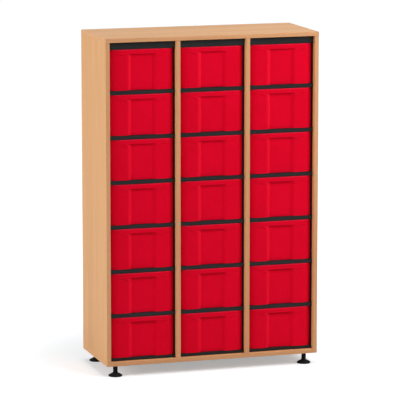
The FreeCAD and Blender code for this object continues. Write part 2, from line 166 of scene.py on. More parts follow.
def rounded_outline(corners: Sequence[Corner], inset: float, least_radius: float = 0.3 * MM) -> np.ndarray:
    """Draw a closed outline through corners, all drawn in by one distance.

    The outline runs anticlockwise. Each corner moves by inset * (n1 + n2) / (1 + n1 . n2), where n1 and n2
    are the inward normals of its two edges. A corner that bulges out has its radius less the inset, one
    that bulges in has its radius plus the inset, and each straight run is cut into equal parts.

    Args:
        corners: The outline's corners, in order.
        inset: The distance by which every edge is drawn in.
        least_radius: The smallest radius that a corner keeps.

    Returns:
        The outline's points, one row of two values each.
    """
    spots = np.array([[corner.x, corner.y] for corner in corners])
    edges = np.roll(spots, -1, axis=0) - spots
    along = edges / np.linalg.norm(edges, axis=1, keepdims=True)
    inward = np.stack([-along[:, 1], along[:, 0]], 1)
    before = np.roll(inward, 1, axis=0)
    spots = spots + inset * (before + inward) / (1 + (before * inward).sum(1, keepdims=True))
    arrive = np.roll(along, 1, axis=0)
    arcs = []
    for spot, first, second, corner in zip(spots, arrive, along, corners):
        outwards = first[0] * second[1] - first[1] * second[0] > 0
        radius = max(corner.radius + (-inset if outwards else inset), least_radius)
        arcs.append(turned_corner(spot, first, second, radius, corner.steps))
    pieces = []
    for arc, following, corner in zip(arcs, arcs[1:] + arcs[:1], corners):
        share = inner_places(0.0, 1.0, corner.run)[:, None]
        pieces += [arc, arc[-1] + share * (following[0] - arc[-1])]
    return np.concatenate(pieces)


def rounded_profile(points: Sequence[Triple], steps: int = 5) -> np.ndarray:
    """Draw an open profile through points, turning each inner one with an arc of its own radius.

    Args:
        points: The profile's points as (first value, second value, radius).
        steps: The number of equal parts in each arc.

    Returns:
        The profile's points, one row of two values each.
    """
    spots = np.array([point[:2] for point in points])
    along = np.diff(spots, axis=0)
    along = along / np.linalg.norm(along, axis=1, keepdims=True)
    pieces = [spots[:1]]
    for index in range(1, len(points) - 1):
        radius = points[index][2]
        if radius > 0:
            pieces.append(turned_corner(spots[index], along[index - 1], along[index], radius, steps))
        else:
            pieces.append(spots[index:index + 1])
    return np.concatenate(pieces + [spots[-1:]])


class Shell:
    """Gathers grids of points and their faces, and makes one mesh object of them."""

    def __init__(self) -> None:
        """Start with no points and no faces."""
        self.points: list[np.ndarray] = []
        self.faces: list[np.ndarray] = []
        self.count = 0

    def add_grid(self, grid: np.ndarray, capped: bool = True) -> None:
        """Add a tube of quads: a grid of rings, each closed on itself.

        Ring i and ring i + 1 are joined by quads, and the last point of a ring is joined to its first. A
        cap is one flat face over the whole ring. Rings that run anticlockwise, seen from where the rings go
        to, have their faces outwards.

        Args:
            grid: The points as (rings, points in a ring, 3).
            capped: Whether the first and the last ring are closed by a flat face.
        """
        rings, around = grid.shape[:2]
        index = self.count + np.arange(rings * around).reshape(rings, around)
        beside = np.roll(index, -1, axis=1)
        quads = np.stack([index[:-1], beside[:-1], beside[1:], index[1:]], -1).reshape(-1, 4)
        self.points.append(grid.reshape(-1, 3))
        self.faces.append(quads)
        if capped:
            self.faces += [index[0][::-1][None, :], index[-1][None, :]]
        self.count += rings * around

    def add_block(self, low: Sequence[float], high: Sequence[float], radius: float, steps: int = 3) -> None:
        """Add a block with all its edges and corners rounded.

        Each point is the block's inner corner on its own side plus radius times a direction: the directions
        run over a ball in rings, and every quarter turn the corner that they start from changes, which
        stretches the quads between two quarters into the block's flat sides.

        Args:
            low: The lowest corner.
            high: The highest corner.
            radius: The rounding of the edges.
            steps: The number of equal parts in each quarter turn.
        """
        quarter = np.linspace(0.0, QUARTER_TURN, steps + 1)
        turn = np.concatenate([quarter + side * QUARTER_TURN for side in range(4)])
        turn_sign = np.repeat(np.array([[1, 1], [-1, 1], [-1, -1], [1, -1]]), steps + 1, axis=0)
        rise = np.concatenate([quarter - QUARTER_TURN, quarter])
        rise_sign = np.repeat([-1, 1], steps + 1)
        lift, spin = np.meshgrid(rise, turn, indexing="ij")
        ball = np.stack([np.cos(lift) * np.cos(spin), np.cos(lift) * np.sin(spin), np.sin(lift)], -1)
        sign = np.empty_like(ball)
        sign[..., :2] = turn_sign
        sign[..., 2] = rise_sign[:, None]
        middle = (np.array(low) + np.array(high)) / 2
        inner = (np.array(high) - np.array(low)) / 2 - radius
        self.add_grid((middle + sign * inner + radius * ball)[1:-1])

    def make(self, name: str, material: bpy.types.Material, sharp_degrees: float = 35.0) -> bpy.types.Object:
        """Make the mesh object, smooth except over edges that turn more sharply than a given angle.

        Args:
            name: The object's name.
            material: Its material.
            sharp_degrees: The least turn of an edge that stays sharp.

        Returns:
            The new object, linked to the scene, at the origin.
        """
        points = np.concatenate(self.points)
        sizes = np.concatenate([np.full(len(block), block.shape[1]) for block in self.faces])
        corners = np.concatenate([block.ravel() for block in self.faces])
        mesh = bpy.data.meshes.new(name)
        mesh.vertices.add(len(points))
        mesh.vertices.foreach_set("co", points.astype(np.float32).ravel())
        mesh.loops.add(len(corners))
        mesh.loops.foreach_set("vertex_index", corners.astype(np.int32))
        mesh.polygons.add(len(sizes))
        mesh.polygons.foreach_set("loop_start", np.concatenate([[0], np.cumsum(sizes)[:-1]]).astype(np.int32))
        mesh.update(calc_edges=True)
        mesh.validate()
        mesh.polygons.foreach_set("use_smooth", np.ones(len(mesh.polygons), dtype=bool))
        mesh.set_sharp_from_angle(angle=math.radians(sharp_degrees))
        mesh.materials.append(material)
        return put_in_scene(name, mesh)


def turned(profile: np.ndarray, centre: Pair, around: int = 72) -> np.ndarray:
    """Turn a profile about an upright axis.

    Point j of ring i is the axis plus radius_i times (cos, sin) of j's share of a full turn, at height_i.

    Args:
        profile: Rows of (radius, height).
        centre: The axis's x and y.
        around: The number of points in a ring.

    Returns:
        The grid of points as (rings, points in a ring, 3).
    """
    angle = np.linspace(0.0, 2 * math.pi, around, endpoint=False)
    radius, height = profile[:, :1], profile[:, 1:]
    x = centre[0] + radius * np.cos(angle)
    y = centre[1] + radius * np.sin(angle)
    return np.stack([x, y, np.broadcast_to(height, x.shape)], -1)


# Shader graphs


@dataclass(frozen=True)
class Noise:
    """A noise texture's scale, detail and roughness; its scale may be another socket."""

    scale: object = 1.0
    detail: float = 2.0
    rough: float = 0.5


class Graph:
    """Adds nodes to one tree and joins their sockets."""

    def __init__(self, tree: bpy.types.NodeTree) -> None:
        """Start on an empty tree."""
        self.tree = tree
        tree.nodes.clear()

    def feed(self, node: bpy.types.Node, values: Feeds) -> None:
        """Give inputs of a node their values, or join them to other sockets.

        Args:
            node: The node.
            values: For each input, by name or by place, a value or the output socket that feeds it.
        """
        for label, value in values.items():
            target = node.inputs[label]
            if isinstance(value, Socket):
                self.tree.links.new(value, target)
            else:
                target.default_value = value

    def node(self, kind: str, values: Feeds | None = None, **settings: object) -> bpy.types.Node:
        """Add a node of a kind, set its properties, and feed its inputs.

        Args:
            kind: The node's type.
            values: For each input, by name or by place, a value or the output socket that feeds it.
            settings: The node's properties.

        Returns:
            The new node.
        """
        made = self.tree.nodes.new(kind)
        for name, value in settings.items():
            setattr(made, name, value)
        self.feed(made, values or {})
        return made

    def noise(self, vector: object, kind: Noise) -> Socket:
        """Add a noise texture and return its value."""
        values = {"Vector": vector, "Scale": kind.scale, "Detail": kind.detail, "Roughness": kind.rough}
        return self.node("ShaderNodeTexNoise", values).outputs["Fac"]

    def maths(self, operation: str, first: object, second: object = 0.0) -> Socket:
        """Add a sum, product or other operation on two values and return the result."""
        return self.node("ShaderNodeMath", {0: first, 1: second}, operation=operation).outputs[0]

    def ranged(self, value: object, span: Pair, low: object = 0.0, high: object = 1.0) -> Socket:
        """Map a span of a value smoothly to a new low and high, held between them, and return the result."""
        values = {"Value": value, "From Min": span[0], "From Max": span[1], "To Min": low, "To Max": high}
        return self.node("ShaderNodeMapRange", values, interpolation_type="SMOOTHSTEP").outputs["Result"]

    def mixed(self, share: object, first: object, second: object) -> Socket:
        """Mix two colours by a share and return the result."""
        values = dict(zip(COLOUR_MIX_INPUTS, (share, first, second)))
        return self.node("ShaderNodeMix", values, data_type="RGBA").outputs[COLOUR_MIX_OUTPUT]

    def chosen(self, share: object, first: object, second: object) -> Socket:
        """Choose between two vectors by a share of 0 or 1 and return the result."""
        values = dict(zip(VECTOR_MIX_INPUTS, (share, first, second)))
        return self.node("ShaderNodeMix", values, data_type="VECTOR").outputs[VECTOR_MIX_OUTPUT]

    def placed(
        self, vector: object, shift: Triple = (0, 0, 0), turn: Triple = (0, 0, 0), scale: Triple = (1, 1, 1)
    ) -> Socket:
        """Shift, turn and stretch a vector and return the result."""
        values = {"Vector": vector, "Location": shift, "Rotation": turn, "Scale": scale}
        return self.node("ShaderNodeMapping", values).outputs[0]

    def bumped(self, height: Socket, depth: float, strength: float) -> Socket:
        """Turn a height into the normal of a surface that is so rough, and return it."""
        values = {"Strength": strength, "Distance": depth, "Height": height}
        return self.node("ShaderNodeBump", values).outputs["Normal"]

    def own_coordinates(self) -> Socket:
        """Add the piece's own coordinates and return them."""
        return self.node("ShaderNodeTexCoord").outputs["Object"]

    def facing(self, axis: str, normal: str) -> Socket:
        """Return how far the surface looks along an axis, by one of the geometry's normals."""
        given = self.node("ShaderNodeNewGeometry").outputs[normal]
        return self.node("ShaderNodeSeparateXYZ", {0: given}).outputs[axis]


def new_group(
    name: str, inputs: dict[str, object], outputs: dict[str, str]
) -> tuple[Graph, bpy.types.NodeOutputs, bpy.types.Node]:
    """Start a shader node group with named sockets.

    Args:
        name: The group's name.
        inputs: For each input, its default: a number, a colour of four values, or None for a vector.
        outputs: For each output, its socket type.

    Returns:
        The graph, the sockets that the group is given, and the node that takes its results.
    """
    tree = bpy.data.node_groups.new(name, "ShaderNodeTree")
    for label, default in inputs.items():
        kind = VECTOR if default is None else FLOAT if isinstance(default, float) else COLOUR
        made = tree.interface.new_socket(label, in_out="INPUT", socket_type=kind)
        if default is not None:
            made.default_value = default
    for label, kind in outputs.items():
        tree.interface.new_socket(label, in_out="OUTPUT", socket_type=kind)
    graph = Graph(tree)
    return graph, graph.node("NodeGroupInput").outputs, graph.node("NodeGroupOutput")


@dataclass(frozen=True)
class BeechDecor:
    """The printed beech: long soft streaks, broad bands of tone and the wood's short dark flecks.

    The grain runs along the vector's third axis. Streaks are noise squeezed across the grain and drawn out
    along it, the bands are the same at a larger scale, and the flecks are a fine drawn-out noise above a
    threshold.
    """

    streak_scale: Triple = (95.0, 95.0, 2.4)
    streak_noise: Noise = Noise(detail=5.0, rough=0.62)
    streak_share: float = 0.6
    band_scale: Triple = (16.0, 16.0, 0.7)
    band_shift: Triple = (3.1, 1.7, 0.4)
    band_noise: Noise = Noise()
    tone_span: Pair = (0.36, 0.64)
    fleck_scale: Triple = (820.0, 820.0, 95.0)
    fleck_shift: Triple = (0.9, 2.3, 5.1)
    fleck_noise: Noise = Noise(detail=1.0)
    fleck_span: Pair = (0.60, 0.72)
    fleck_sink: float = 0.8
    gloss_span: Pair = (0.3, 0.7)
    gloss_change: float = 0.03

    def group(self) -> bpy.types.NodeTree:
        """Build the shared node group.

        Returns:
            The group, with the outputs Colour, Roughness and Height.
        """
        inputs = {
            "Vector": None, "Light": BLACK, "Dark": BLACK, "Fleck": BLACK,
            "Fleck Share": 0.35, "Roughness": 0.45,
        }
        graph, given, result = new_group("beech_decor", inputs, SKIN_OUTPUTS)
        vector = given["Vector"]
        streak = graph.noise(graph.placed(vector, scale=self.streak_scale), self.streak_noise)
        band = graph.noise(graph.placed(vector, self.band_shift, scale=self.band_scale), self.band_noise)
        fine = graph.noise(graph.placed(vector, self.fleck_shift, scale=self.fleck_scale), self.fleck_noise)
        streak_part = graph.maths("MULTIPLY", streak, self.streak_share)
        band_part = graph.maths("MULTIPLY", band, 1 - self.streak_share)
        tone = graph.ranged(graph.maths("ADD", streak_part, band_part), self.tone_span)
        fleck = graph.ranged(fine, self.fleck_span, 0.0, given["Fleck Share"])
        change = graph.ranged(streak, self.gloss_span, self.gloss_change, -self.gloss_change)
        graph.feed(result, {
            "Colour": graph.mixed(fleck, graph.mixed(tone, given["Dark"], given["Light"]), given["Fleck"]),
            "Roughness": graph.maths("ADD", given["Roughness"], change),
            "Height": graph.maths("SUBTRACT", streak, graph.maths("MULTIPLY", fleck, self.fleck_sink)),
        })
        return graph.tree


@dataclass(frozen=True)
class MouldedSkin:
    """The skin of a moulded plastic: a fine grain, soft flow clouds and a lighter colour along a mask.

    The grain is a fine noise for the height, the clouds are a broad noise that shifts the colour a little,
    and the lighter colour follows the product of a middle noise and the given mask. On the drawers'
    rims it is partly handling scuffs and partly a painted highlight.
    """

    cloud_noise: Noise = Noise(9.0, 3.0, 0.55)
    cloud_span: Pair = (0.35, 0.65)
    scuff_noise: Noise = Noise(60.0, 4.0, 0.6)
    wear_and_highlight_span: Pair = (0.3, 0.7)
    least_wear_and_highlight: float = 0.45
    gloss_span: Pair = (0.35, 0.7)
    gloss_changes: Pair = (-0.03, 0.05)
    grain_detail: float = 1.0

    def group(self) -> bpy.types.NodeTree:
        """Build the shared node group.

        Returns:
            The group, with the outputs Colour, Roughness and Height.
        """
        inputs = {
            "Vector": None, "Colour": BLACK, "Cloud": BLACK, "Wear And Highlight Colour": BLACK,
            "Wear And Highlight Mask": 0.0, "Roughness": 0.4, "Grain Scale": 1400.0,
        }
        graph, given, result = new_group("moulded_skin", inputs, SKIN_OUTPUTS)
        vector = given["Vector"]
        cloud = graph.ranged(graph.noise(vector, self.cloud_noise), self.cloud_span)
        scuff = graph.noise(vector, self.scuff_noise)
        clouded = graph.mixed(cloud, given["Colour"], given["Cloud"])
        # The lighter colour along the mask: on the drawers' rims partly scuffing, partly a painted highlight.
        wear_and_highlight = graph.ranged(scuff, self.wear_and_highlight_span, self.least_wear_and_highlight)
        worn_and_highlit = graph.maths("MULTIPLY", given["Wear And Highlight Mask"], wear_and_highlight)
        change = graph.ranged(scuff, self.gloss_span, *self.gloss_changes)
        graph.feed(result, {
            "Colour": graph.mixed(worn_and_highlit, clouded, given["Wear And Highlight Colour"]),
            "Roughness": graph.maths("ADD", given["Roughness"], change),
            "Height": graph.noise(vector, Noise(given["Grain Scale"], self.grain_detail)),
        })
        return graph.tree


@dataclass(frozen=True)
class SettledDust:
    """The dust that settles on level faces: how far a face looks up times a cloudy noise."""

    level_span: Pair = (0.75, 1.0)
    cloud_noise: Noise = Noise(22.0, 5.0, 0.65)
    cloud_span: Pair = (0.3, 0.7)
    least_cloud: float = 0.5

    def group(self) -> bpy.types.NodeTree:
        """Build the shared node group.

        Returns:
            The group, with the output Mask.
        """
        graph, given, result = new_group("settled_dust", {"Vector": None, "Amount": 0.1}, {"Mask": FLOAT})
        level = graph.ranged(graph.facing("Z", "Normal"), self.level_span, 0.0, given["Amount"])
        cloud = graph.noise(given["Vector"], self.cloud_noise)
        cloudy = graph.ranged(cloud, self.cloud_span, self.least_cloud)
        graph.feed(result, {"Mask": graph.maths("MULTIPLY", level, cloudy)})
        return graph.tree


class Effects:
    """Holds the shared node groups, each built once."""

    def __init__(self) -> None:
        """Build every shared group."""
        self.beech = BeechDecor().group()
        self.moulding = MouldedSkin().group()
        self.dust = SettledDust().group()


# Finishes


def opaque(colour: Colour) -> tuple[float, float, float, float]:
    """Add a full alpha to a colour."""
    return (*colour, 1.0)


class Finish:
    """The base of every finish: a material with one principled shader."""

    dust_colour: ClassVar[Colour] = linear(196, 190, 182)

    def start(self, name: str) -> tuple[bpy.types.Material, Graph, bpy.types.Node]:
        """Make the material with its shader and output.

        Args:
            name: The material's name.

        Returns:
            The material, its graph and its principled shader.
        """
        material = bpy.data.materials.new(name)
        material.use_nodes = True
        graph = Graph(material.node_tree)
        shader = graph.node("ShaderNodeBsdfPrincipled")
        graph.node("ShaderNodeOutputMaterial", {"Surface": shader.outputs["BSDF"]})
        return material, graph, shader

    def dusted(self, graph: Graph, effects: Effects, colour: Socket, amount: float) -> Socket:
        """Lay thin dust over a colour.

        Args:
            graph: The material's graph.
            effects: The shared groups.
            colour: The clean colour.
            amount: The most that the dust covers on a level face, from 0 to 1.

        Returns:
            The dusted colour.
        """
        values = {"Vector": graph.own_coordinates(), "Amount": amount}
        dust = graph.node("ShaderNodeGroup", values, node_tree=effects.dust)
        return graph.mixed(dust.outputs["Mask"], colour, opaque(self.dust_colour))


@dataclass(frozen=True)
class BeechFinish(Finish):
    """Beech decor on boards and bands."""

    light: Colour
    dark: Colour
    fleck: Colour
    end_light: Colour = linear(228, 174, 122)
    end_dark: Colour = linear(220, 165, 113)
    fleck_share: float = 0.3
    roughness: float = 0.46
    specular: float = 0.1
    dust: float = 0.03
    pore_depth: float = 0.15 * MM
    pore_strength: float = 0.25
    end_slope: float = 0.7

    def material(self, name: str, effects: Effects, grain: Grain, shift: float) -> bpy.types.Material:
        """Make the decor for one board.

        On a round panel the ends, which look left or right, have the grain from front to back and lighter
        colours than the front.

        Args:
            name: The material's name.
            effects: The shared groups.
            grain: The way that the grain runs.
            shift: How far along the pattern this board is cut from, so that no two boards match.

        Returns:
            The material.
        """
        material, graph, shader = self.start(name)
        own = graph.own_coordinates()
        lay = (0, 0, 0) if grain is Grain.UPRIGHT else (0, -QUARTER_TURN, 0)
        vector = graph.placed(own, (shift, shift / 3, 0), lay)
        light: object = opaque(self.light)
        dark: object = opaque(self.dark)
        if grain is Grain.ROUND_PANEL:
            sideways = graph.maths("ABSOLUTE", graph.facing("X", "True Normal"))
            on_end = graph.maths("GREATER_THAN", sideways, self.end_slope)
            vector = graph.chosen(on_end, vector, graph.placed(own, (shift, 0, 0), (QUARTER_TURN, 0, 0)))
            light = graph.mixed(on_end, light, opaque(self.end_light))
            dark = graph.mixed(on_end, dark, opaque(self.end_dark))
        values = {
            "Vector": vector, "Light": light, "Dark": dark, "Fleck": opaque(self.fleck),
            "Fleck Share": self.fleck_share, "Roughness": self.roughness,
        }
        decor = graph.node("ShaderNodeGroup", values, node_tree=effects.beech).outputs
        graph.feed(shader, {
            "Base Color": self.dusted(graph, effects, decor["Colour"], self.dust),
            "Roughness": decor["Roughness"],
            "Specular IOR Level": self.specular,
            "Normal": graph.bumped(decor["Height"], self.pore_depth, self.pore_strength),
        })
        return material


@dataclass(frozen=True)
class MouldedFinish(Finish):
    """Moulded plastic in one colour."""

    colour: Colour
    cloud: Colour
    # The lighter colour along the masked rim: partly scuffing, partly a painted highlight.
    edge: Colour
    roughness: float
    specular: float
    tint: Colour
    grain_scale: float = 1400.0
    grain_depth: float = 0.03 * MM
    grain_strength: float = 0.5
    dust: float = 0.0
    wear_and_highlight_attribute: str = ""

    def material(self, name: str, effects: Effects) -> bpy.types.Material:
        """Make the plastic.

        Args:
            name: The material's name.
            effects: The shared groups.

        Returns:
            The material.
        """
        material, graph, shader = self.start(name)
        values: Feeds = {
            "Vector": graph.own_coordinates(), "Colour": opaque(self.colour), "Cloud": opaque(self.cloud),
            "Wear And Highlight Colour": opaque(self.edge), "Roughness": self.roughness, "Grain Scale": self.grain_scale,
        }
        # The rim mask lightens the rim's top: partly scuffing, partly a painted highlight.
        if self.wear_and_highlight_attribute:
            mask = graph.node("ShaderNodeAttribute", attribute_name=self.wear_and_highlight_attribute)
            values["Wear And Highlight Mask"] = mask.outputs["Fac"]
        skin = graph.node("ShaderNodeGroup", values, node_tree=effects.moulding).outputs
        colour = skin["Colour"]
        if self.dust > 0:
            colour = self.dusted(graph, effects, colour, self.dust)
        graph.feed(shader, {
            "Base Color": colour,
            "Roughness": skin["Roughness"],
            "Specular IOR Level": self.specular,
            "Specular Tint": opaque(self.tint),
            "Normal": graph.bumped(skin["Height"], self.grain_depth, self.grain_strength),
        })
        return material


@dataclass(frozen=True)
class ZincFinish(Finish):
    """Zinc-plated steel with a cloudy passivated shine."""

    bright: Colour = linear(206, 208, 208)
    dull: Colour = linear(168, 170, 166)
    roughness: float = 0.34
    dull_roughness: float = 0.42
    cloud_noise: Noise = Noise(260.0, 4.0, 0.6)
    cloud_span: Pair = (0.35, 0.65)
    grain_noise: Noise = Noise(2400.0)
    grain_depth: float = 0.02 * MM
    grain_strength: float = 0.3

    def material(self, name: str, effects: Effects) -> bpy.types.Material:
        """Make the plated steel.

        Args:
            name: The material's name.
            effects: The shared groups.

        Returns:
            The material.
        """
        material, graph, shader = self.start(name)
        own = graph.own_coordinates()
        cloud = graph.ranged(graph.noise(own, self.cloud_noise), self.cloud_span)
        grain = graph.noise(own, self.grain_noise)
        graph.feed(shader, {
            "Base Color": graph.mixed(cloud, opaque(self.dull), opaque(self.bright)),
            "Roughness": graph.ranged(cloud, (0.0, 1.0), self.dull_roughness, self.roughness),
            "Metallic": 1.0,
            "Normal": graph.bumped(grain, self.grain_depth, self.grain_strength),
        })
        return material


@dataclass
class Palette:
    """Every material of the cabinet, made once from its finish."""

    effects: Effects = field(default_factory=Effects)
    board: BeechFinish = BeechFinish(linear(226, 171, 116), linear(217, 161, 106), linear(178, 120, 72))
    band: BeechFinish = BeechFinish(linear(217, 162, 117), linear(208, 152, 107), linear(168, 114, 72))
    raw_beech: BeechFinish = BeechFinish(
        linear(214, 178, 132), linear(196, 156, 110), linear(150, 104, 68), dust=0.0
    )
    # The red's edge colour is whiter along the rim's top: partly scuffing, partly a painted highlight.
    red: MouldedFinish = MouldedFinish(
        colour=linear(228, 6, 41), cloud=linear(224, 6, 39), edge=linear(236, 44, 72), roughness=0.42,
        specular=0.13, tint=(1.0, 0.2, 0.27), wear_and_highlight_attribute="rim_wear_and_highlight",
    )
    black: MouldedFinish = MouldedFinish(
        colour=linear(34, 36, 36), cloud=linear(30, 32, 32), edge=linear(90, 90, 90), roughness=0.5,
        specular=0.15, tint=(1.0, 1.0, 1.0), grain_scale=1100.0, dust=0.02,
    )
    foot_black: MouldedFinish = MouldedFinish(
        colour=linear(34, 34, 34), cloud=linear(30, 30, 30), edge=linear(90, 90, 90), roughness=0.6,
        specular=0.08, tint=(0.25, 0.25, 0.25), grain_scale=1600.0, dust=0.01,
    )
    zinc: ZincFinish = ZincFinish()

    def __post_init__(self) -> None:
        """Make the materials that several pieces share."""
        self.drawer_red = self.red.material("drawer_red", self.effects)
        self.runner_black = self.black.material("runner_black", self.effects)
        self.foot_plastic = self.foot_black.material("foot_black", self.effects)
        self.zinc_steel = self.zinc.material("zinc_steel", self.effects)
        self.dowel_wood = self.raw_beech.material("dowel_wood", self.effects, Grain.UPRIGHT, 0.0)


def dress(node: str, material: bpy.types.Material) -> None:
    """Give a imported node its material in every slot.

    Args:
        node: The node's name.
        material: The material.
    """
    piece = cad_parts[node]
    if not piece.material_slots:
        piece.data.materials.append(material)
    for place in piece.material_slots:
        place.material = material


# The carcass


@dataclass
class Carcass:
    """The boards, their edge bands and the fittings that join them."""

    palette: Palette
    pattern_step: float = 1.37
    upright_boards: tuple[str, ...] = (
        "side_panel_left", "divider_1", "divider_2", "side_panel_right", "back_panel",
    )
    level_boards: tuple[str, ...] = ("bottom_panel", "top_panel")
    upright_bands: tuple[str, ...] = ("edge_bands_sides", "edge_bands_dividers")
    level_bands: tuple[str, ...] = ("edge_bands_bottom", "edge_bands_top")
    steel_fittings: tuple[str, ...] = ("cam_housings", "cam_bolts", "runner_screws", "back_screws")

    def build(self) -> list[str]:
        """Dress every node of the carcass.

        Returns:
            The names of the nodes that got a finish.
        """
        effects = self.palette.effects
        plan = [
            (self.upright_boards, self.palette.board, Grain.UPRIGHT),
            (self.level_boards, self.palette.board, Grain.ACROSS),
            (self.upright_bands, self.palette.band, Grain.UPRIGHT),
            (self.level_bands, self.palette.band, Grain.ROUND_PANEL),
        ]
        done: list[str] = []
        for names, finish, grain in plan:
            for name in names:
                shift = self.pattern_step * (len(done) + 1)
                dress(name, finish.material("beech_" + name, effects, grain, shift))
                done.append(name)
        for name in self.steel_fittings:
            dress(name, self.palette.zinc_steel)
        dress("carcass_dowels", self.palette.dowel_wood)
        return done + list(self.steel_fittings) + ["carcass_dowels"]


# Runner plates and cross bars


@dataclass
class RunnerSet:
    """The black plates on the bays' walls and the cross bars between them."""

    palette: Palette

    def build(self) -> list[str]:
        """Dress the plates and the bars of every column.

        Returns:
            The names of the nodes that got a finish.
        """
        done = []
        for column in COLUMNS:
            plates = [f"runner_plates_{column}_{side}" for side in ("left", "right")]
            for name in plates + [f"cross_bars_{column}"]:
                dress(name, self.palette.runner_black)
                done.append(name)
        return done


# Drawers


@dataclass
class DrawerBank:
    """The moulded drawers: one shell of the same form for each column and row.

    The lengths are one drawer's, and the counts of parts say how finely its arcs and stretches are cut.
    """

    palette: Palette
    bow_width: float = 25 * MM
    bow_depth: float = 13 * MM
    bow_radius: float = 80 * MM
    corner_radius: float = 6 * MM
    return_depth: float = 32 * MM
    return_rounding: float = 1.6 * MM
    flange_reach: float = 11 * MM
    flange_drop: float = 8 * MM
    flange_thickness: float = 2.6 * MM
    flange_rounding: float = 0.8 * MM
    rear_radius: float = 14 * MM
    wall: float = 2.4 * MM
    floor: float = 2.6 * MM
    foot_rounding: float = 1.2 * MM
    floor_rounding: float = 4 * MM
    lip_height: float = 20 * MM
    lip_rounding: float = 1.0 * MM
    lip_fillet: float = 1.8 * MM
    recess_mouth: float = 127 * MM
    recess_floor: float = 94 * MM
    recess_depth: float = 10 * MM
    recess_rounding: float = 4 * MM
    nib_height: float = 2 * MM
    nib_length: float = 6 * MM
    nib_width: float = 6 * MM
    nib_setback: float = 4 * MM
    ear_depth: float = 1.8 * MM
    ear_drop: float = 10 * MM
    ear_inner: float = 67 * MM
    ear_outer: float = 99 * MM
    ear_fade: float = 22 * MM
    ear_slope: float = 2.0 * MM
    ear_margin: float = 6 * MM
    ear_recess_fade: float = 3 * MM
    recess_margin: float = 3 * MM
    recess_blend: float = 1.5 * MM
    # The height of the lighter band under the rim's top: partly scuffing, partly a painted highlight.
    rim_wear_and_highlight: float = 2.2 * MM
    arc_parts: int = 5
    rim_parts: int = 9
    lower_parts: int = 6
    ear_parts: int = 13
    underside_parts: int = 4
    lip_parts: int = 4
    lip_back_parts: int = 3
    inside_parts: int = 5
    width: float = field(init=False)
    length: float = field(init=False)
    height: float = field(init=False)

    def __post_init__(self) -> None:
        """Take the outer sizes from a packed drawer."""
        low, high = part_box("drawer_1_1")
        self.width = high.x - low.x
        self.length = high.y - low.y
        self.height = high.z - low.z

    def build(self) -> list[str]:
        """Make the drawers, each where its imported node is.

        Returns:
            The names of the new pieces.
        """
        shell = self.skin()
        done = []
        for column in COLUMNS:
            for row in ROWS:
                node = f"drawer_{column}_{row}"
                low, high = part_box(node)
                place = np.array([(low.x + high.x) / 2, low.y, low.z])
                piece = self.one(f"{node}_moulding", shell, place)
                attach(piece, node)
                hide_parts(node)
                done.append(piece.name)
        return done

    def corners(self) -> list[Corner]:
        """Lay out the drawer's outline from above, from the front's left end and anticlockwise.

        Each kind of corner has a radius and the number of parts in its arc.

        Returns:
            The outline's corners.
        """
        front, body = self.width / 2, self.width / 2 - self.flange_reach
        mouth, inner = self.recess_mouth / 2, self.recess_floor / 2
        turn, depth = self.return_depth, self.recess_depth
        bow = front - self.bow_width
        end = (self.corner_radius, 7)
        bowed = (self.bow_radius, 8)
        recess = (self.recess_rounding, 4)
        step = (self.return_rounding, 3)
        rear = (self.rear_radius, 7)
        return [
            Corner(-front, self.bow_depth, *end, run=1),
            Corner(-bow, 0.0, *bowed, run=9),
            Corner(-mouth, 0.0, *recess, run=3),
            Corner(-inner, depth, *recess, run=12),
            Corner(inner, depth, *recess, run=3),
            Corner(mouth, 0.0, *recess, run=9),
            Corner(bow, 0.0, *bowed, run=1),
            Corner(front, self.bow_depth, *end, run=1),
            Corner(front, turn, *step, run=2),
            Corner(body, turn, *step, run=10),
            Corner(body, self.length, *rear, run=8),
            Corner(-body, self.length, *rear, run=10),
            Corner(-body, turn, *step, run=2),
            Corner(-front, turn, *step, run=1),
        ]

    def lip_rows(self, level: float, fillet: float, edge: float) -> np.ndarray:
        """Lead rows from the recess's wall over the lip's underside to the lip's front.

        Each row is (height, share of the recess's depth): a hollow quarter arc of the fillet's radius, a
        level stretch, and a bulging quarter arc of the edge's radius.

        Args:
            level: The height of the lip's underside.
            fillet: The radius of the hollow arc.
            edge: The radius of the bulging arc.

        Returns:
            The rows, from the recess up to the lip.
        """
        turn = np.linspace(0.0, QUARTER_TURN, self.arc_parts + 1)
        rise, run = np.sin(turn), 1 - np.cos(turn)
        hollow = np.stack([level - fillet + fillet * rise, 1 - run * fillet / self.recess_depth], 1)
        bulge = np.stack([level + edge * run, (1 - rise) * edge / self.recess_depth], 1)
        span = inner_places(0.0, 1.0, self.underside_parts)[:, None]
        flat = hollow[-1] + span * (bulge[0] - hollow[-1])
        return np.concatenate([hollow, flat, bulge])

    def rows(self) -> np.ndarray:
        """List every ring of the skin as (inset, height, share of the recess's depth, even height).

        They run from the foot's outer rounding up the outside, over the rim and down the inside to the
        floor's rounding. The even height is what a point outside the recess takes, so that rows that differ
        only in the recess stay apart there.

        Returns:
            One row for each ring.
        """
        lip = self.height - self.lip_height
        half = self.wall / 2
        turn = np.linspace(0.0, QUARTER_TURN, self.arc_parts + 1)
        arc = np.linspace(0.0, math.pi, self.rim_parts + 1)

        def plain(inset: np.ndarray | float, height: np.ndarray, share: float) -> np.ndarray:
            """Make rows whose even height is their own height."""
            inset, height = np.broadcast_arrays(inset, height)
            return np.stack([inset, height, np.full(height.shape, share), height], 1)

        def lip_part(inset: float, rows: np.ndarray) -> np.ndarray:
            """Make rows under the lip, whose even heights are evenly spread."""
            even = np.linspace(rows[0, 0], rows[-1, 0], len(rows))
            return np.stack([np.full(len(rows), inset), rows[:, 0], rows[:, 1], even], 1)

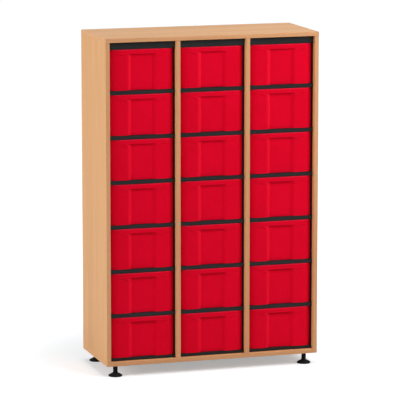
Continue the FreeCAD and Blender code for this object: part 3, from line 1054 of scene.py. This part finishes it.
        foot = plain(self.foot_rounding * (1 - np.sin(turn)), self.foot_rounding * (1 - np.cos(turn)), 1.0)
        dense_from = lip - self.ear_drop - self.ear_margin
        below = plain(0.0, np.linspace(self.foot_rounding, dense_from, self.lower_parts + 1)[1:], 1.0)
        dense = plain(0.0, inner_places(dense_from, lip - self.lip_fillet, self.ear_parts), 1.0)
        under = lip_part(0.0, self.lip_rows(lip, self.lip_fillet, self.lip_rounding))
        rim_foot = self.height - half
        face = plain(0.0, inner_places(lip + self.lip_rounding, rim_foot, self.lip_parts), 0.0)
        rim = plain(half * (1 - np.cos(arc)), rim_foot + half * np.sin(arc), 0.0)
        web = lip + self.wall
        over = lip_part(self.wall, self.lip_rows(web, self.lip_rounding, self.lip_fillet)[::-1])
        back = plain(self.wall, inner_places(rim_foot, over[0, 1], self.lip_back_parts), 0.0)
        inner_foot = self.floor + self.floor_rounding
        inside = plain(self.wall, inner_places(over[-1, 1], inner_foot, self.inside_parts), 1.0)
        hollow_inset = self.wall + self.floor_rounding * (1 - np.cos(turn))
        hollow = plain(hollow_inset, inner_foot - self.floor_rounding * np.sin(turn), 1.0)
        return np.concatenate([foot, below, dense, under, face, rim, back, over, inside, hollow])

    def skin(self) -> Shell:
        """Work out the drawer's whole shell, with the middle of its front's foot at the origin.

        Ring i is the outline drawn in by the row's inset. In the recess its distance behind the front plane
        is multiplied by the row's share, and its height goes from the even height to the row's own height
        within the first stretch of depth. The front then steps back below the ear line.

        Returns:
            The shell, with the side flanges and their stop nibs.
        """
        corners = self.corners()
        rows = self.rows()
        rings = np.stack([rounded_outline(corners, inset) for inset in rows[:, 0]])
        front_plane = rows[:, :1]
        behind = rings[..., 1] - front_plane
        between = np.abs(rings[..., 0]) < self.recess_mouth / 2 + self.recess_margin
        in_recess = between & (behind < 2 * self.recess_depth)
        depth = np.where(in_recess, behind, 0.0)
        y = np.where(in_recess, front_plane + depth * rows[:, 2:3], rings[..., 1])
        blend = np.clip(depth / self.recess_blend, 0.0, 1.0)
        z = rows[:, 3:4] + blend * (rows[:, 1:2] - rows[:, 3:4])
        outside = (np.arange(len(rows)) < np.argmax(rows[:, 0] > self.wall / 2))[:, None]
        y = y + self.ear_step(rings[..., 0], z, depth) * outside * (rings[..., 1] < self.return_depth / 2)
        shell = Shell()
        shell.add_grid(np.stack([rings[..., 0], y, z], -1))
        self.add_flanges(shell)
        return shell

    def ear_step(self, x: np.ndarray, z: np.ndarray, depth: np.ndarray) -> np.ndarray:
        """Step the front back below the lip beside the recess.

        The step's line is level with the lip's underside at the outer end and runs down to the ear's drop
        beside the recess, by the smooth step 3 r^2 - 2 r^3 of the reach r between the two. Below the line
        the face stands back by the ear's depth, over a short slope, and this fades out towards the front's
        ends and into the recess.

        Args:
            x: The distance from the drawer's middle.
            z: The height over the drawer's foot.
            depth: The distance behind the front plane within the recess.

        Returns:
            How far each point steps back.
        """
        lip = self.height - self.lip_height
        reach = np.clip((self.ear_outer - np.abs(x)) / (self.ear_outer - self.ear_inner), 0.0, 1.0)
        line = lip - self.ear_drop * reach * reach * (3 - 2 * reach)
        below = np.clip((line - z) / self.ear_slope, 0.0, 1.0)
        fade = np.clip((self.ear_outer + self.ear_fade - np.abs(x)) / self.ear_fade, 0.0, 1.0)
        shallow = np.clip(1 - depth / self.ear_recess_fade, 0.0, 1.0)
        return self.ear_depth * below * fade * shallow

    def add_flanges(self, shell: Shell) -> None:
        """Add the side flanges that ride on the runner ledges, each with its stop nib.

        Args:
            shell: The drawer's shell.
        """
        outer = self.width / 2
        inner = outer - self.flange_reach - self.wall / 2
        top = self.height - self.flange_drop
        start = self.return_depth - self.wall
        foot = top - self.flange_thickness
        nib_end = self.length - self.nib_setback
        nib_start = nib_end - self.nib_length
        nib_top = top + self.nib_height
        nib_foot = top - self.flange_thickness / 2
        for side in (-1, 1):
            left, right = sorted((side * inner, side * outer))
            shell.add_block((left, start, foot), (right, self.length, top), self.flange_rounding)
            left, right = sorted((side * (outer - self.nib_width), side * outer))
            shell.add_block((left, nib_start, nib_foot), (right, nib_end, nib_top), self.flange_rounding)

    def one(self, name: str, shell: Shell, place: np.ndarray) -> bpy.types.Object:
        """Make one drawer at its place, with the mask of its rim's scuffs and painted highlight.

        Args:
            name: The piece's name.
            shell: The shell at the origin.
            place: Where the middle of the front's foot goes.

        Returns:
            The piece.
        """
        copy = Shell()
        copy.points = [points + place for points in shell.points]
        copy.faces = shell.faces
        piece = copy.make(name, self.palette.drawer_red)
        height = np.concatenate([points[:, 2] for points in shell.points])
        # A lighter band along the rim's top: partly scuffing, partly a painted highlight.
        wear_and_highlight = np.clip(1 - (self.height - height) / self.rim_wear_and_highlight, 0.0, 1.0)
        mask = piece.data.attributes.new("rim_wear_and_highlight", "FLOAT", "POINT")
        mask.data.foreach_set("value", wear_and_highlight.astype(np.float32))
        return piece


# Feet


@dataclass
class FootSet:
    """The four adjustable feet: a flared base and a threaded spindle each."""

    palette: Palette
    rim_height: float = 5.2 * MM
    rim_rounding: float = 1.7 * MM
    flare_foot_radius: float = 26.2 * MM
    flare_foot_height: float = 8.1 * MM
    flare_rounding: float = 10.2 * MM
    neck_radius: float = 11.6 * MM
    neck_height: float = 14.6 * MM
    neck_rounding: float = 5.1 * MM
    socket_radius: float = 7.0 * MM
    socket_floor: float = 5.0 * MM
    running_gap: float = 0.3 * MM
    column_radius: float = 9.8 * MM
    column_rounding: float = 0.8 * MM
    stud_radius: float = 5.0 * MM
    thread_pitch: float = 1.5 * MM
    thread_depth: float = 0.75 * MM
    spindle_around: int = 48
    rings_per_pitch: int = 16

    def build(self) -> list[str]:
        """Make the base and the spindle of every foot.

        Returns:
            The names of the new pieces.
        """
        done = []
        for place in FOOT_PLACES:
            low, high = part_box("foot_base_" + place)
            centre = ((low.x + high.x) / 2, (low.y + high.y) / 2)
            base = self.base(f"foot_base_{place}_moulding", centre, (high.x - low.x) / 2, high.z)
            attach(base, "foot_" + place)
            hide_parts("foot_base_" + place)
            low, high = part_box("foot_spindle_" + place)
            spindle = self.spindle(f"foot_spindle_{place}_moulding", centre, low.z, high.z, place)
            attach(spindle, "spindle_" + place)
            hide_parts("foot_spindle_" + place)
            dress("foot_insert_" + place, self.palette.zinc_steel)
            done += [base.name, spindle.name]
        return done

    def base(self, name: str, centre: Pair, radius: float, top: float) -> bpy.types.Object:
        """Make a foot base: a rounded rim, a flare that hollows up to the neck, and the spindle's socket.

        The profile of (radius, height) points is turned about the foot's axis.

        Args:
            name: The piece's name.
            centre: The axis's x and y.
            radius: The rim's radius.
            top: The height of the neck's top.

        Returns:
            The piece.
        """
        edge = self.rim_rounding
        profile = rounded_profile([
            (radius - 3 * edge, 0.0, 0.0),
            (radius, 0.0, edge),
            (radius, self.rim_height, edge),
            (radius - 2 * edge, self.rim_height + edge / 2, edge),
            (self.flare_foot_radius, self.flare_foot_height, self.flare_rounding),
            (self.neck_radius, self.neck_height, self.neck_rounding),
            (self.column_radius + 2 * self.running_gap, top, edge / 2),
            (self.socket_radius, top, 0.0),
            (self.socket_radius, self.socket_floor, 0.0),
            (self.socket_radius / 2, self.socket_floor, 0.0),
        ])
        shell = Shell()
        shell.add_grid(turned(profile, centre))
        return shell.make(name, self.palette.foot_plastic)

    def spindle(self, name: str, centre: Pair, low: float, high: float, place: str) -> bpy.types.Object:
        """Make a spindle: a pivot, a round column and a stud with its thread.

        The stud's radius at turn a and height h is its full radius less the thread's depth times a triangle
        wave of h / pitch - a / (a full turn), which fades out at both ends.

        Args:
            name: The piece's name.
            centre: The axis's x and y.
            low: The height of the pivot's end.
            high: The height of the stud's tip.
            place: Which foot it is.

        Returns:
            The piece.
        """
        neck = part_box("foot_base_" + place)[1].z
        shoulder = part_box("foot_insert_" + place)[0].z
        gap, edge = self.running_gap, self.column_rounding
        pivot = self.socket_radius - gap
        lower = rounded_profile([
            (pivot / 2, low, 0.0),
            (pivot, low, edge / 2),
            (pivot, neck + gap, 0.0),
            (self.column_radius, neck + gap, edge / 2),
            (self.column_radius, shoulder - gap, edge),
            (self.stud_radius, shoulder - gap, 0.0),
        ])
        rings = self.rings_per_pitch * round((high - shoulder) / self.thread_pitch)
        height = np.linspace(shoulder - gap, high, rings)[1:]
        stud = np.stack([np.full(len(height), self.stud_radius), height], 1)
        grid = turned(np.concatenate([lower, stud]), centre, self.spindle_around)
        angle = np.linspace(0.0, 1.0, self.spindle_around, endpoint=False)[None, :]
        phase = (height[:, None] / self.thread_pitch - angle) % 1.0
        wave = np.abs(2 * phase - 1)
        fade = np.clip((height - shoulder) / self.thread_pitch, 0.0, 1.0)
        taper = np.clip(1 - (high - height) / self.thread_pitch, 0.0, 1.0)
        depth = self.thread_depth * np.maximum(wave * fade[:, None], taper[:, None])
        shrink = 1 - depth / self.stud_radius
        middle = np.array(centre)
        grid[len(lower):, :, :2] = middle + (grid[len(lower):, :, :2] - middle) * shrink[..., None]
        shell = Shell()
        shell.add_grid(grid)
        return shell.make(name, self.palette.foot_plastic)


# The studio


@dataclass(frozen=True)
class Lamp:
    """A square lamp that hangs at a place, shines at an aim, and has a side and a power.

    A lamp that isn't mirrored lights the pieces but leaves no shine on them, so that the satin top isn't
    bleached where it is seen from the side across from a low lamp.
    """

    name: str
    place: Triple
    aim: Triple
    side: float
    watts: float
    mirrored: bool = True

    def hang(self) -> None:
        """Make the lamp and turn it towards its aim."""
        light = bpy.data.lights.new(self.name, "AREA")
        light.shape = "SQUARE"
        light.size = self.side
        light.energy = self.watts
        lamp = put_in_scene(self.name, light)
        away = np.array(self.place) - np.array(self.aim)
        tilt = math.acos(away[2] / np.linalg.norm(away))
        lamp.location = self.place
        lamp.rotation_euler = (tilt, 0.0, math.atan2(away[1], away[0]) + QUARTER_TURN)
        lamp.visible_glossy = self.mirrored


@dataclass
class Studio:
    """The floor, the lamps, the world and the camera."""

    camera_place: Triple = (-3.697797, -11.791138, 2.799636)
    camera_turn: float = 17.41881
    camera_tilt: float = 9.5588
    camera_lens: float = 259.535
    camera_reach: float = 200.0
    sensor: float = 36.0
    floor_size: float = 90.0
    floor_colour: Colour = (0.45, 0.45, 0.45)
    seen_floor: Colour = (0.78, 0.8, 0.82)
    glow_colour: Colour = (0.965, 0.985, 1.0)
    near_glow: float = 0.375
    far_glow: float = 0.68
    glow_span: Pair = (0.5, 1.2)
    world_colour: Colour = (0.8, 0.8, 0.8)
    world_strength: float = 0.3
    seen_world: Colour = (1.0, 1.0, 1.0)
    sun_strength: float = 0.63
    sun_degrees: float = 3.0
    lamps: tuple[Lamp, ...] = (
        Lamp("left_lamp", (-4.7, -0.8, 1.9), (0.0, 0.0, 0.8), 1.6, 130.0, mirrored=False),
        Lamp("high_lamp", (1.4, -2.7, 4.1), (0.2, -0.2, 0.9), 1.6, 57.0),
        Lamp("near_lamp", (2.45, -2.5, 2.6), (0.2, -0.2, 0.9), 1.6, 67.0, mirrored=False),
        Lamp("right_lamp", (4.8, -1.3, 1.6), (0.0, 0.0, 0.8), 2.0, 26.0),
    )

    def build(self) -> None:
        """Make the floor, the light and the camera."""
        self.make_floor()
        self.make_world()
        for lamp in self.lamps:
            lamp.hang()
        self.make_sun()
        self.make_camera()

    def make_floor(self) -> None:
        """Lay the floor: a pale matt plane that the camera sees white except in the cabinet's own shadow.

        For camera, mirrored and seen-through rays the plane is a brighter matt surface with a little glow,
        so that it reads as white paper wherever most of the light reaches it. The glow grows with the
        distance from the cabinet, where less of the lamps' light arrives. All other light meets the plain
        pale surface.
        """
        half = self.floor_size / 2
        mesh = bpy.data.meshes.new("floor")
        corners = [(-half, -half, 0), (half, -half, 0), (half, half, 0), (-half, half, 0)]
        mesh.from_pydata(corners, [], [(0, 1, 2, 3)])
        material = bpy.data.materials.new("floor")
        material.use_nodes = True
        graph = Graph(material.node_tree)
        plain = graph.node("ShaderNodeBsdfDiffuse", {"Color": opaque(self.floor_colour)})
        seen = graph.node("ShaderNodeBsdfDiffuse", {"Color": opaque(self.seen_floor)})
        away = graph.node("ShaderNodeVectorMath", {0: graph.own_coordinates()}, operation="LENGTH")
        strength = graph.ranged(away.outputs["Value"], self.glow_span, self.near_glow, self.far_glow)
        glow = graph.node("ShaderNodeEmission", {"Color": opaque(self.glow_colour), "Strength": strength})
        both = graph.node("ShaderNodeAddShader", {0: seen.outputs[0], 1: glow.outputs[0]})
        self.choose(graph, plain, both, "ShaderNodeOutputMaterial")
        mesh.materials.append(material)
        floor = put_in_scene("floor", mesh)

    def choose(self, graph: Graph, lit: bpy.types.Node, seen: bpy.types.Node, output: str) -> None:
        """Show one shader to camera, mirrored and seen-through rays, and another to all others.

        Args:
            graph: The graph of the floor or the world.
            lit: The shader that all other rays meet.
            seen: The shader that is seen.
            output: The type of the graph's output node.
        """
        path = graph.node("ShaderNodeLightPath")
        mirrored = graph.maths("MAXIMUM", path.outputs["Is Camera Ray"], path.outputs["Is Glossy Ray"])
        share = graph.maths("MAXIMUM", mirrored, path.outputs["Is Transmission Ray"])
        chosen = graph.node("ShaderNodeMixShader", {0: share, 1: lit.outputs[0], 2: seen.outputs[0]})
        graph.node(output, {"Surface": chosen.outputs[0]})

    def make_world(self) -> None:
        """Light the scene evenly, with a background that is seen plain white."""
        world = bpy.data.worlds.new("studio")
        world.use_nodes = True
        bpy.context.scene.world = world
        graph = Graph(world.node_tree)
        values = {"Color": opaque(self.world_colour), "Strength": self.world_strength}
        soft = graph.node("ShaderNodeBackground", values)
        white = graph.node("ShaderNodeBackground", {"Color": opaque(self.seen_world)})
        self.choose(graph, soft, white, "ShaderNodeOutputWorld")

    def make_sun(self) -> None:
        """Add a weak broad light from straight above."""
        sun = bpy.data.lights.new("top_lamp", "SUN")
        sun.energy = self.sun_strength
        sun.angle = math.radians(self.sun_degrees)
        put_in_scene("top_lamp", sun)

    def make_camera(self) -> None:
        """Set the camera where the photograph was taken from."""
        data = bpy.data.cameras.new("camera")
        data.sensor_width = self.sensor
        data.lens = self.camera_lens
        data.clip_end = self.camera_reach
        camera = put_in_scene("camera", data)
        camera.location = self.camera_place
        camera.rotation_euler = (math.radians(90.0 - self.camera_tilt), 0.0, -math.radians(self.camera_turn))
        bpy.context.scene.camera = camera


def main() -> None:
    """Build every sub-assembly and the studio."""
    logging.basicConfig(level=logging.INFO, format="%(name)s: %(message)s")
    bpy.context.scene.view_settings.view_transform = "Standard"
    palette = Palette()
    for part in (Carcass(palette), RunnerSet(palette), DrawerBank(palette), FootSet(palette)):
        for name in part.build():
            LOG.info("%s: %s", type(part).__name__, name)
    Studio().build()


if __name__ == "__main__":
    main()
